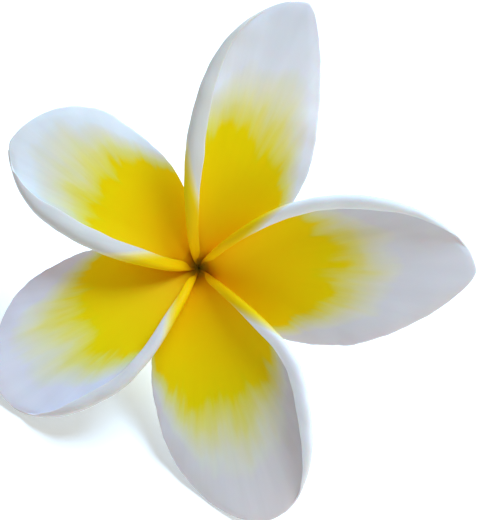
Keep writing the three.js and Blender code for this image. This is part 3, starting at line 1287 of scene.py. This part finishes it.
def lay_down(piece: Piece, node: str, crease: float = 50.0) -> None:
    """Moves a turned piece to where it lies and seats it there.

    Args:
        piece: The piece in the blossom's frame, with its materials.
        node: The CAD node that it stands for.
        crease: Degrees between faces from which an edge stays sharp.
    """
    piece.data.transform(LYING.matrix())
    piece.data.update()
    pick(piece)
    bpy.ops.object.shade_smooth_by_angle(angle=math.radians(crease))
    hand_over(piece, node)


def outline_of(piece: Piece) -> tuple[Array, Array, Array]:
    """Reads a piece's vertices round the blossom's axis, before it is laid down.

    Args:
        piece: The piece.

    Returns:
        Radius and height in millimetres, and angle in radians.
    """
    places = vertex_places(piece) / MM
    angle = np.arctan2(places[:, 1], places[:, 0])
    return np.hypot(places[:, 0], places[:, 1]), places[:, 2], angle


def set_outline(piece: Piece, radius: Array, height: Array, angle: Array) -> None:
    """Puts the vertices at the given radius and height in millimetres and angle in radians."""
    places = np.stack([radius * np.cos(angle), radius * np.sin(angle), height], axis=-1)
    move_vertices(piece, places * MM)


@dataclass(frozen=True)
class CorollaTube:
    """The narrow tube that the petals grow from: it swells round the stamens and flares at the
    top, where it runs out under the petals. In millimetres."""

    outline: Outline = (
        (1.7, -17.2), (1.74, -15.8), (1.86, -14.2), (1.95, -13.0), (1.9, -12.0),
        (1.76, -10.8), (1.6, -9.3), (1.54, -8.2), (1.55, -7.0), (1.62, -6.0), (1.82, -4.8),
        (2.1, -3.8), (2.45, -3.0), (2.9, -2.4), (3.4, -2.0),
    )
    sides: int = 80
    wall: float = 0.4
    ribs: int = 5
    rib_height: float = 0.04  # share of the radius
    spiral: float = 0.12  # radians that the ribs turn in a millimetre
    ribs_start: Band = (-17.2, -13.0)  # heights over which they rise from the foot
    ribs_end: Band = (-6.0, -3.5)  # and sink again under the flare
    joined: Band = (2.2, 3.1)  # radii over which the flare comes to follow the petals
    thinned: Band = (1.9, 2.6)  # radii over which its wall gets thinner
    rim: float = 0.3  # share of the wall's thickness at the flare's edge
    under: float = 0.32  # how far below the petals' middle the flare lies
    petal_middle: float = 12.0  # degrees that the middle of a petal's foot lies off its axis
    petal_edge: Band = (38.0, 46.0)  # degrees on from there, where its foot ends
    open_rise: float = 6.0  # how much further up the flare would go where no petal covers it

    def build(self) -> list[Piece]:
        """Grows the tube and lets its flare follow the petals' backs.

        Returns:
            The tube.
        """
        piece = Turning("throat_tube", self.sides, self.outline).make()
        radius, height, angle = outline_of(piece)
        ribs = np.cos(self.ribs * (angle + self.spiral * height)) * ease(height, *self.ribs_start)
        radius = radius * (1 + self.rib_height * ribs * (1 - ease(height, *self.ribs_end)))
        height = blend(height, self.back_of_petals(radius, angle), ease(radius, *self.joined))
        set_outline(piece, radius, height, angle)
        thicken(
            piece, 1 - ease(radius, *self.thinned), self.rim, thickness=self.wall * MM,
            offset=-1.0,
        )
        round_off(piece)
        piece.data.materials.append(TUBE_SKIN.build())
        lay_down(piece, "corolla_tube")
        return [piece]

    def back_of_petals(self, radius: Array, angle: Array) -> Array:
        """Works out where the flare touches the petals from below.

        Args:
            radius: Distance from the blossom's axis.
            angle: Radians round it.

        Returns:
            Height just under the lowest petal at each place.
        """
        lowest = np.full_like(radius, np.inf)
        middle = math.radians(self.petal_middle)
        start, end = (math.radians(degrees) for degrees in self.petal_edge)
        for petal in PETALS:
            off = (angle - petal.turn_at(radius) + math.pi) % (2 * math.pi) - math.pi
            bare = ease(np.maximum(off, -off - middle), start, end)
            height = petal.face.height(radius, off) + self.open_rise * bare
            lowest = np.minimum(lowest, height)
        return lowest - self.under


@dataclass(frozen=True)
class Calyx:
    """Small green cup with five rounded lobes that hugs the foot of the tube. In millimetres."""

    outline: Outline = (
        (1.0, -18.75), (1.55, -18.6), (2.1, -18.2), (2.4, -17.6), (2.52, -16.9), (2.55, -16.2),
        (2.5, -15.6), (2.42, -15.2),
    )
    sides: int = 60
    wall: float = 0.5
    lobes: int = 5
    lobe: float = 1.2  # height of a lobe
    roundness: float = 0.7
    rising: Band = (-17.6, -15.2)  # heights over which the lobes grow out of the cup
    draw_in: float = 0.05  # how far the cup closes between the lobes
    lean: float = 0.10  # how much further out the lobes' middles stand

    def build(self) -> list[Piece]:
        """Grows the cup on its floor and raises its lobes.

        Returns:
            The calyx.
        """
        piece = Turning("green_calyx", self.sides, self.outline, Foot.INSET).make()
        radius, height, angle = outline_of(piece)
        up = ease(height, *self.rising)
        lobe = np.abs(np.cos(angle * self.lobes / 2)) ** self.roundness
        height = height + self.lobe * lobe * up
        radius = radius + up * (self.lean * lobe - self.draw_in)
        set_outline(piece, radius, height, angle)
        modify(piece, "SOLIDIFY", thickness=self.wall * MM, offset=-1.0)
        round_off(piece)
        piece.data.materials.append(CALYX_SKIN.build())
        lay_down(piece, "calyx")
        return [piece]


@dataclass(frozen=True)
class Stalk:
    """Short stalk, a little wider at the calyx, with a pale cut end. In millimetres."""

    outline: Outline = (
        (0.86, -26.0), (0.95, -25.9), (0.95, -25.3), (0.93, -24.2), (0.94, -22.8),
        (0.93, -21.4), (0.98, -20.2), (1.1, -19.3), (1.2, -18.9), (1.28, -18.6),
    )
    sides: int = 36
    sway: float = 0.12  # how far its middle bends out
    knots: float = 0.025  # share of the radius that it swells and thins
    knot_lengths: tuple[float, ...] = (3.7, 1.9)
    knots_start: Band = (-25.6, -24.0)
    seed: int = 5
    cut: float = -25.93  # height up to which its faces are the cut

    def build(self) -> list[Piece]:
        """Grows the stalk between its caps and bends it very slightly.

        Returns:
            The stalk.
        """
        piece = Turning("cut_stalk", self.sides, self.outline, Foot.INSET, capped=True).make()
        radius, height, angle = outline_of(piece)
        knots = waves(height, self.knot_lengths, self.seed) * np.sin(2 * angle + height)
        swell = 1 + self.knots * knots * ease(height, *self.knots_start)
        set_outline(piece, radius * swell, height, angle)
        places = vertex_places(piece)
        start, end = self.outline[0][1], self.outline[-1][1]
        places[:, 0] += self.sway * MM * np.sin((height - start) / (end - start) * math.pi)
        move_vertices(piece, places)
        round_off(piece)
        for skin in (STALK_SKIN, CUT_SKIN):
            piece.data.materials.append(skin.build())
        for face in piece.data.polygons:
            face.material_index = int(face.center.z < self.cut * MM)
        lay_down(piece, "stalk")
        return [piece]


@dataclass(frozen=True)
class Anthers:
    """Five slim anthers in a ring inside the tube. In millimetres."""

    outline: Outline = (
        (0.12, -13.9), (0.2, -13.7), (0.28, -13.2), (0.27, -12.6), (0.2, -12.1), (0.1, -11.75),
    )
    sides: int = 12
    count: int = 5
    ring_radius: float = 0.9

    def build(self) -> list[Piece]:
        """Grows one anther, then copies it round the tube.

        Returns:
            The anthers.
        """
        first = Turning("anther_1", self.sides, self.outline, Foot.PLAIN, capped=True).make()
        round_off(first)
        first.data.materials.append(ANTHER_SKIN.build())
        anthers = [first]
        for number in range(2, self.count + 1):
            copy = first.copy()
            copy.data = first.data.copy()
            copy.name = copy.data.name = f"anther_{number}"
            bpy.context.scene.collection.objects.link(copy)
            anthers.append(copy)
        for index, piece in enumerate(anthers):
            angle = 2 * math.pi * index / self.count
            spot = Vector((math.cos(angle), math.sin(angle), 0.0)) * self.ring_radius * MM
            piece.data.transform(Matrix.Translation(spot))
            lay_down(piece, f"stamen_{index + 1}")
        return anthers


@dataclass(frozen=True)
class Pistil:
    """The ovary at the foot of the tube, its short style and the stigma. In millimetres."""

    outline: Outline = (
        (0.62, -17.2), (0.76, -17.05), (0.85, -16.7), (0.7, -16.1), (0.42, -15.6),
        (0.3, -14.8), (0.28, -13.6), (0.32, -12.9), (0.36, -12.6), (0.24, -12.3),
    )
    sides: int = 16

    def build(self) -> list[Piece]:
        """Grows the pistil and closes both ends.

        Returns:
            The pistil.
        """
        name = "pistil_and_stigma"
        piece = Turning(name, self.sides, self.outline, Foot.PLAIN, capped=True).make()
        round_off(piece)
        piece.data.materials.append(PISTIL_SKIN.build())
        lay_down(piece, "pistil")
        return [piece]


# ---- Studio ----------------------------------------------------------------------------------


@dataclass(frozen=True)
class SoftLight:
    """A round soft light: its direction in the blossom's frame, size in metres, power and tint."""

    name: str
    direction: tuple[float, float, float]
    size: float
    power: float
    color: str


@dataclass(frozen=True)
class Studio:
    """Camera, table and soft light. Places and directions are in the blossom's frame."""

    target: tuple[float, float] = (6.48, 1.28)
    view_height: float = 83.2  # millimetres that the view's long side covers
    target_level: float = 7.0
    lens: float = 300.0
    sensor: float = 36.0
    clip: Band = (0.01, 20.0)  # metres
    lit: tuple[float, float, float] = (6.0, 0.0, 4.0)  # what the lights face
    light_distance: float = 0.6  # metres
    lights: tuple[SoftLight, ...] = (
        SoftLight("key light", (0.476, 0.824, 0.309), 0.42, 5.2, "#c1e1ff"),
        SoftLight("fill light", (0.824, -0.476, 0.309), 0.42, 1.0, "#ffefbe"),
    )
    table_size: float = 8.0  # metres
    table_drop: float = 0.2  # millimetres that the table lies below the blossom's lowest point
    grains: float = 90.0  # of the lacquer's clouding to a metre, about 11 mm each
    table_stops: Stops = ((0.3, "#f8f8f8"), (0.7, "#fbfbfb"))
    table_glow: str = "#d8efff"
    table_glow_power: float = 0.24
    room: str = "#fff5ea"
    room_power: float = 0.42
    wall: str = "#c6c8c7"  # what the camera sees of the room

    def build(self) -> None:
        """Sets up everything that isn't part of the blossom."""
        self.add_camera()
        self.add_table()
        self.add_world()
        for light in self.lights:
            self.add_light(light)
        settings = bpy.context.scene.view_settings
        settings.view_transform = "Standard"
        settings.look = "None"

    def add_camera(self) -> None:
        """A long lens that looks down the blossom's axis."""
        distance = self.view_height * self.lens / self.sensor + self.target_level
        data = bpy.data.cameras.new("camera")
        data.lens = self.lens
        data.sensor_width = self.sensor
        data.clip_start, data.clip_end = self.clip
        camera = bpy.data.objects.new("camera", data)
        bpy.context.scene.collection.objects.link(camera)
        place = Vector((*self.target, distance)) * MM
        camera.matrix_world = LYING.matrix() @ Matrix.Translation(place)
        bpy.context.scene.camera = camera

    def add_table(self) -> None:
        """A plain pale table top."""
        deselect()
        drop = (0.0, 0.0, -self.table_drop * MM)
        bpy.ops.mesh.primitive_plane_add(size=self.table_size, location=drop)
        table = take("table_top")
        # Sprayed and rubbed down: an even white that keeps soft shadows and mirrors nothing.
        material, tree = new_material("table top, matte white lacquer")
        place = add_node(tree, "TexCoord")
        noise = add_node(
            tree, "TexNoise",
            {"Vector": place.outputs["Object"], "Scale": self.grains, "Detail": 4.0},
        )
        tone = add_node(tree, "ValToRGB", {0: noise.outputs[0]})
        set_ramp(tone, self.table_stops)
        close_material(
            tree, tone.outputs[0], Roughness=0.8, Specular_IOR_Level=0.1,
            Emission_Color=linear(self.table_glow), Emission_Strength=self.table_glow_power,
        )
        table.data.materials.append(material)

    def add_world(self) -> None:
        """An even pale room, whose wall looks as the far end of the table does."""
        world = bpy.data.worlds.new("pale room")
        world.use_nodes = True
        tree = world.node_tree
        tree.nodes.clear()
        light = add_node(
            tree, "Background", {"Color": linear(self.room), "Strength": self.room_power}
        )
        wall = add_node(tree, "Background", {"Color": linear(self.wall)})
        path = add_node(tree, "LightPath")
        room = add_node(
            tree, "MixShader",
            {0: path.outputs["Is Camera Ray"], 1: light.outputs[0], 2: wall.outputs[0]},
        )
        add_node(tree, "OutputWorld", {"Surface": room.outputs[0]})
        bpy.context.scene.world = world

    def add_light(self, light: SoftLight) -> None:
        """Hangs one soft disk of light, facing the blossom.

        Args:
            light: The light's measures.
        """
        turn = LYING.matrix().to_3x3()
        direction = (turn @ Vector(light.direction)).normalized()
        data = bpy.data.lights.new(light.name, "AREA")
        data.shape = "DISK"
        data.size = light.size
        data.energy = light.power
        data.color = linear(light.color)[:3]
        lamp = bpy.data.objects.new(light.name, data)
        bpy.context.scene.collection.objects.link(lamp)
        centre = Vector(LYING.place(np.array([self.lit]))[0])
        lamp.matrix_world = (
            Matrix.Translation(centre + direction * self.light_distance)
            @ direction.to_track_quat("Z", "Y").to_matrix().to_4x4()
        )


def main() -> None:
    """Builds the studio and the blossom, and reports each piece."""
    logging.basicConfig(level=logging.INFO, format="%(message)s")
    Studio().build()
    for part in (*PETALS, CorollaTube(), Calyx(), Stalk(), Anthers(), Pistil()):
        for piece in part.build():
            LOG.info("%s is built, with %d faces", piece.name, len(piece.data.polygons))


if __name__ == "__main__":
    main()
